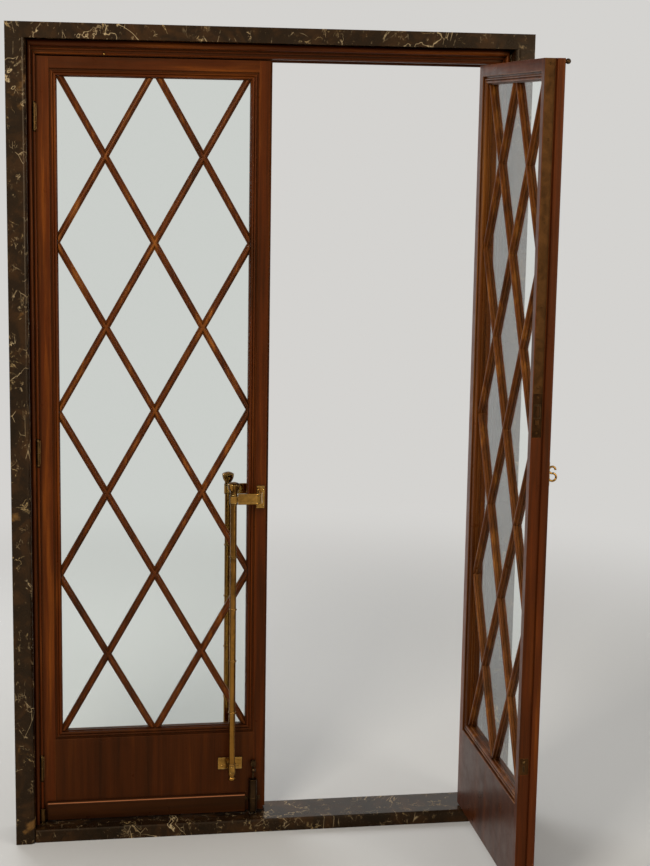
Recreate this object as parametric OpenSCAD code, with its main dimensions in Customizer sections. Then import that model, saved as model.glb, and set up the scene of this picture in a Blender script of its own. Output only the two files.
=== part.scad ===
/* Pair of glazed mahogany doors with diamond lattices, in a moulded timber frame
   inside a dark marble surround with its own marble threshold.

   Axes: +X to the right seen from the room, +Y from the room into the vestibule, +Z up.
   Origin: underside of the threshold, middle of the doorway, in the plane of the
   leaves' room faces. Both leaves open into the room, towards -Y. */

/* [Opening in the stone] */
// Clear width between the stone jambs
opening_w = 1681; // [1400:1:2100]
// Height from the floor to the underside of the stone head
opening_h = 2842; // [2300:1:3300]

/* [Stone surround] */
// Face width of the stone jambs
stone_w = 70; // [60:1:110]
// Face height of the stone head
stone_head_h = 52; // [40:1:120]
// How far the stone stands in front of the leaves' room faces
stone_front = 95; // [60:1:140]
// Radius of the rounded inner arris of the jambs
stone_round = 20; // [8:1:30]
// How far the threshold stands in front of the leaves' room faces
sill_front = 84; // [60:1:130]
// Height of the stone threshold
sill_h = 48; // [30:1:70]
// Radius of the rounded front arris of the threshold
sill_round = 8; // [3:1:14]

/* [Timber frame] */
// From the stone reveal to the face that the leaf's edge runs beside
jamb_w = 24.5; // [20:0.5:50]
// Width of the round moulding next to the stone on the jambs
jamb_torus_w = 16; // [12:1:20]
// Height of the round moulding under the stone head
head_torus_h = 24; // [16:1:28]
// Height of the flat strip below it, above the leaves
head_strip_h = 16.5; // [14:0.5:40]
// How far the round mouldings stand in front of the leaves' room faces
torus_front = 34; // [28:1:50]
// Radius of the bead in line with the hinges
bead_r = 5; // [4:0.5:6]
// Width of the planted stops behind the leaves
stop_w = 28; // [22:1:40]
// Thickness of the planted stops
stop_t = 20; // [12:1:30]
// How far the stop above the leaves hangs below the frame's head
head_stop_h = 8; // [7:1:40]

/* [Leaves] */
// Thickness of a leaf
leaf_t = 64; // [52:1:78]
// Flat width of the hinge stile
hinge_flat_w = 42; // [40:1:90]
// Flat width of the meeting stile, up to its rebate
meeting_flat_w = 35.5; // [34:0.5:90]
// Flat height of the top rail
top_flat_h = 37; // [26:1:120]
// Flat height of the bottom rail
bottom_flat_h = 300; // [240:1:420]
// Gap round the leaves
leaf_gap = 5.5; // [5:0.5:8]
// Gap under the leaves
foot_gap = 7; // [6:0.5:12]
// How far each leaf's half of the meeting rebate overlaps the other
lap = 5.5; // [3:0.5:10]
// Thickness of the right leaf's lip over the left leaf
lip_t = 26; // [18:1:28]
// How far the hinge axis stands in front of the leaves' room faces
axis_front = 18; // [15:1:24]

/* [Glazing] */
// From a leaf's flat to the first ridge of its glazing moulding
quirk_w = 12; // [9:1:16]
// Width of that moulding from there on
glazing_bead_w = 18; // [14:1:22]
// Thickness of the glass
glass_t = 6; // [4:1:10]
// Whole diamonds across a leaf
cells_across = 2; // [1:1:3]
// Whole diamonds up a leaf
cells_up = 4; // [3:1:6]
// Width of a lattice bar
bar_w = 24; // [18:1:30]
// Depth of a lattice bar, from the glass to its nose
bar_d = 15; // [10:1:18]
// How far the pattern runs on under the beads at the sides
grid_over_x = 7; // [0:1:14]
// How far the pattern runs on under the beads at the top
grid_over_top = 31; // [0:1:36]
// How far the pattern runs on under the beads at the foot
grid_over_foot = 16; // [0:1:36]

/* [Bottom moulding] */
// Height of the moulding along the foot of a leaf
kick_h = 68; // [50:1:110]
// How far it stands proud of the leaf
kick_t = 14; // [8:1:20]

/* [Hinges] */
// Hinges on each leaf
hinge_count = 3; // [2:1:4]
// Length of one hinge barrel, of the two on each hinge
barrel_h = 43; // [36:1:60]
// Radius of the hinge barrels
barrel_r = 6.5; // [6:0.5:7]
// From a leaf's top or foot to the middle of the nearest hinge
hinge_inset = 202; // [120:1:320]

/* [Pull handles] */
// Height of the cap's top above the floor
pull_top = 1315; // [1240:1:1400]
// Length of a pull handle
pull_len = 1119; // [1040:1:1150]
// Diameter of the bar
pull_d = 23; // [18:1:28]
// From the face of the leaf to the bar's axis
pull_off = 63; // [50:1:80]
// From the middle of the doorway to the bar's axis
pull_x = 130; // [120:1:150]

/* [Foot bolt] */
// Travel of the foot bolt
bolt_travel = 18; // [12:1:20]
// Diameter of the foot bolt
bolt_d = 8; // [7:1:10]

/* [Pose] */
// Angle at which the right leaf stands open
right_open = 90; // [0:1:110]

/* [Hidden] */
$fn = 48;

wood = "#5a2714";
bead_wood = "#6e3018";
stone = "#2b201a";
brass = "#a8823e";
bronze = "#2c2620";
pane = "#b9cdd2";

eps = 0.01;

// Frame
half_w = opening_w / 2;
axis_x = half_w - jamb_w;
back_y = leaf_t + leaf_gap + stop_t;
quirk_gap = 4;
head_bead_r = 3;
low_bead_r = 2.5;
strip_front = 12;
recess_front = 4;
roll_h = head_torus_h + quirk_gap + 2 * head_bead_r;
head_foot = opening_h - roll_h - head_strip_h;
corner_z = head_foot + 6;
corner_slope = (opening_h - corner_z) / jamb_w;

// Leaves, with heights above the floor
leaf_top = head_foot - leaf_gap;
leaf_foot = sill_h + foot_gap;
leaf_h = leaf_top - leaf_foot;
mould_w = quirk_w + glazing_bead_w;
glass_y = (leaf_t - glass_t) / 2;
tongue_y = lip_t + leaf_gap;

// Places along a leaf, measured from its hinge axis towards the middle of the doorway
edge_u = leaf_gap;
flat_u = edge_u + hinge_flat_w;
middle_u = axis_x;
left_face_u = middle_u - lap - 1;
left_tongue_u = middle_u + lap - 0.5;
right_lip_u = 2 * middle_u - left_face_u - leaf_gap - 0.5;
right_face_u = 2 * middle_u - left_tongue_u - leaf_gap - 0.5;
meeting_flat_u = left_face_u - meeting_flat_w;
light_u0 = flat_u + mould_w;
light_u1 = meeting_flat_u - mould_w;
light_z0 = leaf_foot + bottom_flat_h + mould_w;
light_z1 = leaf_top - top_flat_h - mould_w;
half_cell_x = (light_u1 - light_u0 + 2 * grid_over_x) / (2 * cells_across);
half_cell_z = (light_z1 - light_z0 + grid_over_top + grid_over_foot) / (2 * cells_up);
kick_u0 = edge_u + 13.5;
kick_u1 = middle_u - 74;

// Hinges
pin_r = 3.5;
pin_gap = 0.1;
joint_gap = 1;
finial_h = 8;
hinge_plate_t = 2.5;
hinge_plate_d = 42;
hinge_z = [for (i = [0 : hinge_count - 1])
    leaf_foot + hinge_inset + i * (leaf_h - 2 * hinge_inset) / (hinge_count - 1)];
shoe_r = 13;
shoe_h = 45;
shoe_lift = 4;
shoe_plate_d = 22;
pivot_disc_r = 12;
pivot_disc_t = 3;

// Pull handles
seat_gap = 0.1;
ring_first = 275;
ring_step = 194;
cap_h = 82;
cap_core_r = pull_d / 2 + 1;
ring_r = pull_d / 2 + 3;
cap_r = ring_r + 7.5;
arm_h = 40;
arm_t = 4;
arm_edge_r = 4;
collar_h = 24;
arm_z = pull_top - 64;
bar_foot = pull_top - pull_len;
foot_z = bar_foot + 46;
hand_plate_t = 4;
hand_plate_w = 28;
curl_angle = 142;
foot_plate_w = 88;
foot_plate_h = 46;

// Foot bolt and its keep
bolt_u = middle_u - 45;
bolt_front = 13;
bolt_gap = 0.75;
bolt_case_r = 15.3;
bolt_case_top = leaf_foot + 123;
strap_z = leaf_foot + 38;
strap_h = 16;
strap_w = 54;
strap_t = 3;
knob_z = leaf_foot + 163;
knob_d = 17;
guide_z = leaf_foot + 176.5;
guide_w = 16;
guide_h = 17.5;
keep_t = 2;
keep_hole_d = bolt_d + 3;

// Right leaf's edge
edge_plate_t = 2.5;
edge_plate_w = leaf_t - lip_t - 6;
edge_plate_y = lip_t + 4;
bolt_plate_h = 57;
bolt_plate_z = leaf_foot + 413;
lock_z = 1600;
lock_plate_h = 143;
scroll_z = 1481;
scroll_plate_h = 77;
ball_r = 8.75;
ball_front = 9.4;

// Placing the two leaves

module on_left() {
    translate([-axis_x, 0, 0]) children();
}

module on_right() {
    translate([axis_x, -axis_front, 0])
        rotate(right_open)
            translate([0, axis_front, 0])
                mirror([1, 0, 0])
                    children();
}

module on_hinge_axis() {
    translate([0, -axis_front, 0]) children();
}

// Corner to cut away from a square edge to leave it rounded
module arris(r) {
    difference() {
        translate([-1, -1]) square(r + 1);
        translate([r, r]) circle(r);
    }
}

// Stone

module stone_jamb() {
    color(stone)
        linear_extrude(opening_h)
            translate([half_w, -stone_front])
                difference() {
                    square([stone_w, stone_front + back_y]);
                    arris(stone_round);
                }
}

module stone_head() {
    color(stone)
        translate([-half_w - stone_w, -stone_front, opening_h])
            cube([opening_w + 2 * stone_w, stone_front + back_y, stone_head_h]);
}

module threshold() {
    color(stone)
        difference() {
            translate([-half_w, -sill_front, 0])
                rotate([90, 0, 90])
                    linear_extrude(opening_w)
                        difference() {
                            square([sill_front + back_y, sill_h]);
                            translate([0, sill_h]) mirror([0, 1]) arris(sill_round);
                        }
            keep_place(keep_t) keep_outline();
            keep_place(bolt_travel + 4) circle(d = keep_hole_d);
        }
}

// Timber frame. A roll is a round moulding standing forward of the face that it is worked on

module roll(d) {
    translate([-torus_front + d / 2, d / 2]) circle(d = d);
    translate([-torus_front + d / 2, 0]) square([torus_front + back_y - d / 2, d]);
}

// Below the skew mitre on which a jamb meets the head, seen from the room
module below_mitre(inner_x) {
    x1 = half_w + 1;
    translate([0, back_y + 1, 0])
        rotate([90, 0, 0])
            linear_extrude(torus_front + back_y + 2)
                polygon([[inner_x, sill_h - 1], [x1, sill_h - 1], [x1, opening_h + corner_slope],
                         [inner_x, corner_z - corner_slope * (axis_x - inner_x)]]);
}

module frame_jamb() {
    color(wood)
        difference() {
            intersection() {
                translate([half_w, 0, sill_h]) linear_extrude(opening_h - sill_h) jamb_section();
                below_mitre(axis_x - bead_r - 1);
            }
            for (z = hinge_z) translate([axis_x, -axis_front, z]) {
                cylinder(r = barrel_r + joint_gap, h = 2 * (barrel_h + finial_h + joint_gap), center = true);
                translate([-eps, 0, -barrel_h]) cube([hinge_plate_t + eps, hinge_plate_d + 5, 2 * barrel_h]);
            }
            translate([axis_x, -axis_front, sill_h - eps])
                cylinder(r = shoe_r + joint_gap, h = foot_gap + shoe_lift + shoe_h + joint_gap);
        }
}

// Section with the stone's reveal on x = 0
module jamb_section() {
    difference() {
        union() {
            rotate(90) roll(jamb_torus_w);
            translate([-jamb_w, -axis_front]) square([jamb_w, axis_front + back_y]);
            translate([-jamb_w, -axis_front]) circle(bead_r);
        }
        translate([-jamb_torus_w - quirk_gap, -axis_front - bead_r])
            square([quirk_gap, 2 * bead_r]);
    }
}

// Section with the stone's underside on y = 0 and the room towards -x
module head_section() {
    low_bead_y = -roll_h - 0.69 * head_strip_h;
    mirror([0, 1]) roll(head_torus_h);
    translate([-strip_front, -roll_h]) square([strip_front + back_y, roll_h]);
    translate([-strip_front - head_bead_r, -roll_h]) square([head_bead_r, 2 * head_bead_r]);
    translate([-strip_front - head_bead_r, -roll_h + head_bead_r]) circle(head_bead_r);
    translate([-recess_front, low_bead_y - low_bead_r])
        square([recess_front + back_y, -low_bead_y + low_bead_r]);
    translate([-recess_front * 2, low_bead_y - low_bead_r]) square([recess_front, 2 * low_bead_r]);
    translate([-recess_front * 2, low_bead_y]) circle(low_bead_r);
    translate([0, -roll_h - head_strip_h]) square([back_y, head_strip_h]);
}

module frame_head() {
    color(wood)
        difference() {
            translate([-half_w, 0, opening_h])
                rotate([90, 0, 90])
                    linear_extrude(opening_w) head_section();
            for (side = [0, 1]) mirror([side, 0, 0]) below_mitre(axis_x);
        }
}

module stop_side() {
    color(wood)
        translate([axis_x - stop_w, leaf_t + leaf_gap, sill_h])
            cube([stop_w, stop_t, head_foot - sill_h]);
}

module stop_head() {
    color(wood)
        translate([-axis_x + stop_w, leaf_t + leaf_gap, head_foot - head_stop_h])
            cube([2 * (axis_x - stop_w), stop_t, head_stop_h]);
}

// Hinges, modelled on their axis with the leaf along +x and its face towards -y

module hinge_finial() {
    rotate_extrude()
        intersection() {
            union() {
                square([barrel_r - 1, 2]);
                translate([0, finial_h - 5]) circle(5);
            }
            square([barrel_r, finial_h]);
        }
}

// Half of a hinge that is screwed to the frame: lower barrel, pin and plate
module frame_hinge() {
    translate([0, 0, -barrel_h]) {
        cylinder(r = barrel_r, h = barrel_h - joint_gap / 2);
        cylinder(r = pin_r, h = 2 * barrel_h - 6);
        mirror([0, 0, 1]) hinge_finial();
        translate([-hinge_plate_t, axis_front - 9, 0])
            cube([hinge_plate_t, hinge_plate_d - 4, 2 * barrel_h]);
        translate([-hinge_plate_t, 0, 0])
            cube([hinge_plate_t, axis_front, barrel_h - joint_gap / 2]);
    }
}

// Half that is screwed to the leaf: upper barrel, bored for the pin, and plate
module leaf_hinge() {
    difference() {
        union() {
            translate([0, 0, joint_gap / 2]) cylinder(r = barrel_r, h = barrel_h - joint_gap / 2);
            translate([0, 0, barrel_h]) hinge_finial();
            translate([edge_u, axis_front - 2, -barrel_h])
                cube([hinge_plate_t, hinge_plate_d, 2 * barrel_h]);
            translate([edge_u, 0, joint_gap / 2])
                cube([hinge_plate_t, axis_front, barrel_h - joint_gap / 2]);
        }
        translate([0, 0, -eps]) cylinder(r = pin_r + pin_gap, h = barrel_h - 5);
    }
}

module each_hinge() {
    color(bronze) for (z = hinge_z) translate([0, 0, z]) children();
}

// Pivot at a leaf's foot: pin and disc on the threshold, at height 0
module foot_pin() {
    cylinder(r = pivot_disc_r, h = pivot_disc_t);
    cylinder(r = pin_r, h = foot_gap + shoe_lift + shoe_h - 9);
}

// Shoe on the leaf, bored for the pin
module foot_shoe() {
    color(bronze)
        translate([0, 0, leaf_foot + shoe_lift])
            difference() {
                union() {
                    cylinder(r = shoe_r, h = shoe_h);
                    translate([edge_u, 0, 0]) cube([hinge_plate_t, axis_front + shoe_plate_d, shoe_h]);
                }
                translate([0, 0, -eps]) cylinder(r = pin_r + pin_gap, h = shoe_h - 6);
            }
}

// Section of the glazing moulding: x runs from the flat's edge into the light, y from
// the face to the glass. A rounded arris and a quirk lead to a thin and a broad ridge.
module moulding_section() {
    arris_r = 3;
    quirk_depth = 10;
    thin_r = 3.5;
    thin_top = 5;
    thin_x = quirk_w - 3;
    broad_x = thin_x + 2 * thin_r;
    broad_r = (glazing_bead_w - 7) / 2;
    broad_top = 6.5;
    fillet_h = 9;
    intersection() {
        translate([0, arris_r]) circle(arris_r);
        square([arris_r, arris_r]);
    }
    translate([0, arris_r]) square([arris_r, glass_y - arris_r]);
    translate([0, quirk_depth]) square([thin_x, glass_y - quirk_depth]);
    ridge(thin_x, thin_top, thin_r);
    ridge(broad_x, broad_top, broad_r);
    translate([broad_x, glass_y - fillet_h]) square([mould_w - broad_x, fillet_h]);
}

module ridge(x, top, r) {
    translate([x + r, top + r]) circle(r);
    translate([x, top + r]) square([2 * r, glass_y - top - r]);
}

// A length of it standing along z, mitred at both ends
module mitred_moulding(length) {
    intersection() {
        linear_extrude(length) moulding_section();
        translate([0, glass_y, 0])
            rotate([90, 0, 0])
                linear_extrude(glass_y)
                    polygon([[0, 0], [mould_w, mould_w], [mould_w, length - mould_w], [0, length]]);
    }
}

module hinge_side_moulding() {
    translate([flat_u, 0, leaf_foot + bottom_flat_h])
        mitred_moulding(leaf_h - bottom_flat_h - top_flat_h);
}

module meeting_side_moulding() {
    translate([flat_u + meeting_flat_u, 0, 0]) mirror([1, 0, 0]) hinge_side_moulding();
}

module foot_moulding() {
    translate([flat_u, 0, leaf_foot + bottom_flat_h])
        mirror([1, 0, -1]) mitred_moulding(meeting_flat_u - flat_u);
}

module top_moulding() {
    translate([0, 0, 2 * leaf_foot + bottom_flat_h + leaf_h - top_flat_h])
        mirror([0, 0, 1]) foot_moulding();
}

// Timber of a leaf, with y from its room face

module hinge_stile() {
    difference() {
        union() {
            translate([edge_u, 0, leaf_foot]) cube([hinge_flat_w, leaf_t, leaf_h]);
            hinge_side_moulding();
        }
        for (z = hinge_z)
            translate([edge_u - eps, -eps, z - barrel_h])
                cube([hinge_plate_t + eps, hinge_plate_d - 2 + eps, 2 * barrel_h]);
        translate([edge_u - eps, -eps, leaf_foot + shoe_lift])
            cube([hinge_plate_t + eps, shoe_plate_d + eps, shoe_h]);
    }
}

// The right leaf's lip closes over the left leaf's tongue
module left_meeting() {
    linear_extrude_leaf() translate([meeting_flat_u, 0]) square([meeting_flat_w, leaf_t]);
    meeting_side_moulding();
}

module tongue() {
    linear_extrude_leaf()
        translate([left_face_u, tongue_y]) square([left_tongue_u - left_face_u, leaf_t - tongue_y]);
}

module right_meeting() {
    difference() {
        union() {
            linear_extrude_leaf()
                translate([meeting_flat_u, 0]) square([right_face_u - meeting_flat_u, leaf_t]);
            meeting_side_moulding();
        }
        edge_plates();
        lock_plate();
    }
}

module lip() {
    linear_extrude_leaf()
        difference() {
            translate([right_face_u, 0]) square([right_lip_u - right_face_u, lip_t]);
            translate([right_lip_u, 0]) mirror([1, 0]) arris(5);
            translate([right_lip_u, lip_t]) rotate(180) arris(5);
        }
}

module linear_extrude_leaf() {
    translate([0, 0, leaf_foot]) linear_extrude(leaf_h) children();
}

module top_rail() {
    translate([flat_u, 0, leaf_top - top_flat_h])
        cube([meeting_flat_u - flat_u, leaf_t, top_flat_h]);
    top_moulding();
}

module bottom_rail() {
    translate([flat_u, 0, leaf_foot])
        cube([meeting_flat_u - flat_u, leaf_t, bottom_flat_h]);
    foot_moulding();
}

// Diamond lattice on the glass: bars lie with their back on y = 0 and their nose towards -y

// Stepped section: [share of the half width, share of the depth] from the back to the nose
bar_steps = [[1, 0], [1, 0.25], [0.9, 0.34], [0.56, 0.34], [0.5, 0.42], [0.5, 0.66],
             [0.42, 0.84], [0.25, 0.96], [0, 1]];

module bar_section() {
    n = len(bar_steps) - 1;
    polygon([for (i = [0 : 2 * n])
        let (p = bar_steps[min(i, 2 * n - i)])
        [sign(n - i) * p[0] * bar_w / 2, p[1] * bar_d]]);
}

// One bar between two points of the grid, counted in half cells
module lattice_bar(a, b) {
    p = [a[0] * half_cell_x, a[1] * half_cell_z];
    q = [b[0] * half_cell_x, b[1] * half_cell_z];
    translate([p[0], 0, p[1]])
        rotate([0, -atan2(q[1] - p[1], q[0] - p[0]), 0])
            translate([-bar_w, 0, 0])
                rotate([90, 0, 0]) rotate([90, 0, 90])
                    linear_extrude(norm(q - p) + 2 * bar_w) bar_section();
}

module lattice_bars() {
    nx = 2 * cells_across;
    nz = 2 * cells_up;
    intersection() {
        translate([light_u0, -bar_d - 1, light_z0])
            cube([light_u1 - light_u0, bar_d + 1, light_z1 - light_z0]);
        translate([light_u0 - grid_over_x, 0, light_z0 - grid_over_foot])
            for (s = [2 - nx : 2 : nz - 2]) {
                i0 = max(0, -s);
                i1 = min(nx, nz - s);
                lattice_bar([i0, i0 + s], [i1, i1 + s]);
                lattice_bar([nx - i0, i0 + s], [nx - i1, i1 + s]);
            }
    }
}

module inner_lattice() {
    translate([0, glass_y, 0]) lattice_bars();
}

// The outer lattice and its beads are one frame, screwed on from outside to hold the glass
module outer_lattice() {
    translate([0, leaf_t, 0])
        mirror([0, 1, 0]) {
            inner_lattice();
            hinge_side_moulding();
            meeting_side_moulding();
            foot_moulding();
            top_moulding();
        }
}

module glass() {
    margin = 4;
    translate([flat_u + margin, glass_y, leaf_foot + bottom_flat_h + margin])
        cube([meeting_flat_u - flat_u - 2 * margin, glass_t,
              leaf_h - bottom_flat_h - top_flat_h - 2 * margin]);
}

// Moulding along the foot of a leaf, on its room face, with a rounded top
module kick_moulding() {
    nose_r = kick_t * 0.8;
    translate([kick_u0, 0, leaf_foot])
        rotate([90, 0, 90])
            linear_extrude(kick_u1 - kick_u0)
                difference() {
                    translate([-kick_t, 0]) square([kick_t, kick_h]);
                    translate([-kick_t, kick_h]) mirror([0, 1]) arris(nose_r);
                }
}

// Pull handles on a face at y = pull_off, with the bar's axis standing on the origin

module pull_bar() {
    r = pull_d / 2;
    bulb_r = 8;
    rotate_extrude() {
        translate([0, bar_foot + 20]) square([r, pull_len - cap_h - 20]);
        translate([0, bar_foot + 12]) square([r - 2.5, 10]);
        intersection() {
            translate([r + 2 - bulb_r, bar_foot + bulb_r]) circle(bulb_r);
            translate([0, bar_foot]) square([r + 3, 2 * bulb_r]);
        }
        translate([0, bar_foot]) square([r + 2 - bulb_r, 2 * bulb_r]);
        for (z = [pull_top - ring_first : -ring_step : foot_z + 60]) translate([r, z]) circle(3);
        for (s = [-1, 1]) translate([0, foot_z + s * (collar_h / 2 + 4) - 3]) square([ring_r, 6]);
        translate([0, pull_top - cap_h]) pull_cap_section();
    }
}

// Cap: a core between two rings, a neck, a swelling body, a thin rim and a flat dome
module pull_cap_section() {
    arm_at = arm_z - pull_top + cap_h;
    dome_h = 8;
    dome_base = cap_r - 0.2;
    dome_r = (dome_base * dome_base + dome_h * dome_h) / (2 * dome_h);
    rim_h = 3;
    body_top = cap_h - dome_h - rim_h;
    body_h = 27;
    swell_r = 40;
    square([cap_core_r, body_top]);
    for (s = [-1, 1]) translate([0, arm_at + s * (collar_h / 2 + 3.2) - 3]) square([ring_r, 6]);
    intersection() {
        translate([cap_r - 0.5 - swell_r, body_top - 1]) circle(swell_r);
        translate([0, body_top - body_h]) square([cap_r, body_h]);
    }
    translate([0, body_top]) square([cap_r, rim_h]);
    intersection() {
        translate([0, cap_h - dome_r]) circle(dome_r);
        translate([0, body_top + rim_h]) square([cap_r, dome_h]);
    }
}

module arm_section() {
    square([arm_t, arm_h - 2 * arm_edge_r], center = true);
    for (s = [-1, 1]) translate([0, s * (arm_h / 2 - arm_edge_r)]) circle(arm_edge_r);
}

module collar(core_r) {
    difference() {
        cylinder(r = ring_r, h = collar_h, center = true);
        cylinder(r = core_r + seat_gap, h = collar_h + 2, center = true);
    }
}

// An arm that runs from the cap towards the middle of the doorway, curls back on itself
// and stands on a plate on the meeting stile
module pull_arm() {
    reach = pull_x - 26;
    curl_r = (pull_off - hand_plate_t - 4) / 2;
    straight = reach - curl_r;
    boss = 0.44 * curl_r;
    plate_y = pull_off - hand_plate_t;
    translate([0, 0, arm_z]) {
        collar(cap_core_r);
        translate([cap_core_r + 1, -arm_t / 2, -collar_h / 2 + 1]) cube([6, arm_t, collar_h - 2]);
        translate([ring_r + 1, 0, 0])
            rotate([90, 0, 90]) linear_extrude(straight - ring_r - 1) arm_section();
        translate([straight, curl_r, 0]) {
            rotate(-90) rotate_extrude(angle = curl_angle) translate([curl_r, 0]) arm_section();
            rotate(curl_angle - 90) translate([curl_r, 0, 0]) {
                cylinder(r = 4.7, h = arm_h + 2, center = true);
                translate([0, 0, arm_h / 2 + 3.5]) sphere(5.2);
            }
        }
        translate([reach - boss, plate_y - 1.3 * boss, -12]) cube([boss, 1.3 * boss, 24]);
        translate([reach - hand_plate_w / 2, plate_y, -46]) cube([hand_plate_w, hand_plate_t, 82]);
        translate([reach - hand_plate_w / 2, plate_y - 3, 30]) cube([hand_plate_w, hand_plate_t + 3, 6]);
    }
}

// A post from the bar's foot to a plate on the bottom rail
module pull_post() {
    plate_y = pull_off - hand_plate_t;
    translate([0, 0, foot_z]) {
        collar(pull_d / 2);
        difference() {
            rotate([-90, 0, 0]) cylinder(d = 18, h = plate_y);
            cylinder(r = ring_r - 1, h = collar_h, center = true);
        }
        translate([-foot_plate_w / 2, plate_y, -foot_plate_h / 2])
            cube([foot_plate_w, hand_plate_t, foot_plate_h]);
        translate([-foot_plate_w / 2, plate_y - 5, foot_plate_h / 2 - 7]) cube([foot_plate_w, 5, 7]);
        translate([-foot_plate_w / 2 + 2, plate_y - 1, -foot_plate_h / 2]) cube([foot_plate_w - 4, 1, 2.5]);
    }
}

module inner_pull_place() {
    translate([middle_u - pull_x, -pull_off, 0]) children();
}

module outer_pull_place() {
    translate([0, leaf_t, 0]) mirror([0, 1, 0]) inner_pull_place() children();
}

// Foot bolt on the left leaf's meeting stile

// A case with a half-round front, a strap across it and a guide above
module bolt_case() {
    guide_r = bolt_d / 2 + bolt_gap;
    translate([bolt_u, 0, 0])
        difference() {
            union() {
                translate([0, 0, leaf_foot + 2])
                    linear_extrude(bolt_case_top - leaf_foot - 2) case_section(bolt_case_r);
                translate([0, 0, strap_z]) linear_extrude(strap_h) {
                    case_section(bolt_case_r + 1);
                    translate([-strap_w / 2, -strap_t]) square([strap_w, strap_t]);
                }
                translate([-guide_w / 2, -bolt_front - guide_w / 2, guide_z])
                    cube([guide_w, bolt_front + guide_w / 2, guide_h]);
            }
            translate([0, -bolt_front, leaf_foot]) cylinder(r = guide_r, h = guide_z + guide_h);
        }
}

module case_section(r) {
    translate([-r, -bolt_front]) square([2 * r, bolt_front]);
    intersection() {
        translate([0, -bolt_front]) circle(r);
        translate([-r, -bolt_front - r]) square([2 * r, bolt_front + r]);
    }
}

module bolt() {
    translate([bolt_u, -bolt_front, 0]) {
        translate([0, 0, leaf_foot + 3]) cylinder(d = bolt_d, h = guide_z + guide_h - leaf_foot);
        translate([0, 0, knob_z]) {
            rotate([90, 0, 0]) cylinder(d = 8, h = 13.5);
            translate([0, -13.5, 0]) sphere(d = knob_d);
        }
    }
}

module keep_place(depth) {
    translate([bolt_u - axis_x, -bolt_front, sill_h - depth]) linear_extrude(depth + eps) children();
}

module keep_outline() {
    square(keep_hole_d + 15, center = true);
}

module bolt_keep() {
    color(brass)
        translate([bolt_u - axis_x, -bolt_front, sill_h - keep_t])
            linear_extrude(keep_t)
                difference() {
                    keep_outline();
                    circle(d = keep_hole_d);
                }
}

// Right leaf's edge furniture, let in flush

module edge_plate(z, h) {
    translate([right_face_u - edge_plate_t, edge_plate_y, z])
        cube([edge_plate_t, edge_plate_w, h]);
}

// A short plate for the lower edge bolt and a long one from the lock to the leaf's top
module edge_plates() {
    edge_plate(bolt_plate_z, bolt_plate_h);
    edge_plate(lock_z + lock_plate_h, leaf_top - lock_z - lock_plate_h);
}

module lock_plate() {
    edge_plate(lock_z, lock_plate_h);
}

// A slim plate with an S of two open rings standing off it
module scroll_pull() {
    foot_r = 12.5;
    top_r = 11;
    scroll_r = 3.5;
    translate([middle_u - 24, 0, scroll_z]) {
        translate([-10, -4, -scroll_plate_h / 2]) cube([20, 4, scroll_plate_h]);
        rotate([0, 90, 0]) rotate(180) {
            translate([-foot_r, foot_r + scroll_r, 0])
                rotate_extrude(angle = 300) translate([foot_r, 0]) circle(scroll_r);
            translate([top_r, top_r + scroll_r, 0])
                rotate(180) rotate_extrude(angle = 270) translate([top_r, 0]) circle(scroll_r);
        }
    }
}

// A small ball on a stem, near the top of the right leaf's lip
module top_ball() {
    translate([middle_u - 10, 0, leaf_top - 9]) rotate([90, 0, 0]) {
        cylinder(r = 7, h = 1.5);
        cylinder(r = 4, h = ball_front - 2);
        translate([0, 0, ball_front]) sphere(ball_r);
    }
}

// Pieces

module left_hinge_stile() { color(wood) on_left() hinge_stile(); }
module left_meeting_stile() { color(wood) on_left() left_meeting(); }
module left_meeting_tongue() { color(wood) on_left() tongue(); }
module left_top_rail() { color(wood) on_left() top_rail(); }
module left_bottom_rail() { color(wood) on_left() bottom_rail(); }
module left_inner_lattice() { color(bead_wood) on_left() inner_lattice(); }
module left_outer_lattice() { color(bead_wood) on_left() outer_lattice(); }
module left_glass() { color(pane) on_left() glass(); }
module left_kick_moulding() { color(wood) on_left() kick_moulding(); }
module left_leaf_hinges() { on_left() on_hinge_axis() each_hinge() leaf_hinge(); }
module left_foot_shoe() { on_left() on_hinge_axis() foot_shoe(); }
module left_inner_pull_bar() { color(brass) on_left() inner_pull_place() pull_bar(); }
module left_inner_pull_brackets() {
    color(brass) on_left() inner_pull_place() {
        pull_arm();
        pull_post();
    }
}
module left_outer_pull_bar() { color(brass) on_left() outer_pull_place() pull_bar(); }
module left_outer_pull_brackets() {
    color(brass) on_left() outer_pull_place() {
        pull_arm();
        pull_post();
    }
}
module left_bolt_case() { color(bronze) on_left() bolt_case(); }
module left_bolt() { color(bronze) on_left() bolt(); }

module right_hinge_stile() { color(wood) on_right() hinge_stile(); }
module right_meeting_stile() { color(wood) on_right() right_meeting(); }
module right_meeting_lip() { color(wood) on_right() lip(); }
module right_top_rail() { color(wood) on_right() top_rail(); }
module right_bottom_rail() { color(wood) on_right() bottom_rail(); }
module right_inner_lattice() { color(bead_wood) on_right() inner_lattice(); }
module right_outer_lattice() { color(bead_wood) on_right() outer_lattice(); }
module right_glass() { color(pane) on_right() glass(); }
module right_kick_moulding() { color(wood) on_right() kick_moulding(); }
module right_leaf_hinges() { on_right() on_hinge_axis() each_hinge() leaf_hinge(); }
module right_foot_shoe() { on_right() on_hinge_axis() foot_shoe(); }
module right_lock_plate() { color(bronze) on_right() lock_plate(); }
module right_edge_bolt_plates() { color(bronze) on_right() edge_plates(); }
module right_scroll_pull() { color(brass) on_right() scroll_pull(); }
module right_top_ball() { color(bronze) on_right() top_ball(); }

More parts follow.
